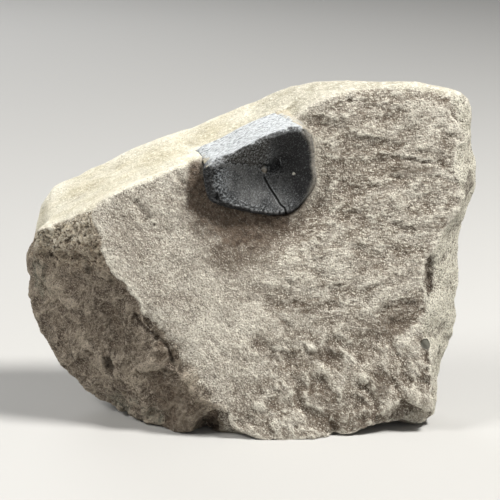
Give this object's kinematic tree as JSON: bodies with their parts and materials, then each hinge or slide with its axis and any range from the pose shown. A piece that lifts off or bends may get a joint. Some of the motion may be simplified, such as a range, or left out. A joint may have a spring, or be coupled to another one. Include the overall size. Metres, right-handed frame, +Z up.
{
  "type": "fossil ichthyosaur vertebra in matrix",
  "caption": "Fossil ichthyosaur vertebra: a biconcave disc of dark bone, part exposed on the broken face of an upright block of pale limestone.",
  "frame": {"origin": "on the resting plane, under the middle of the block's bounding box", "axes": "+Z up; +X along the block's long side, towards its tall end; -Y is the broad broken face with the bone"},
  "size_m": [0.084, 0.035, 0.062],
  "materials": {
    "limestone": "matt, fine-grained grey-beige limestone with a cream weathered skin and darker fresh breaks",
    "fossil_bone": "dark grey mineralised bone, satin, with a paler fibrous side wall"
  },
  "bodies": {
    "root": {"matrix": "limestone", "vertebra": "fossil_bone"}
  },
  "joints": []
}
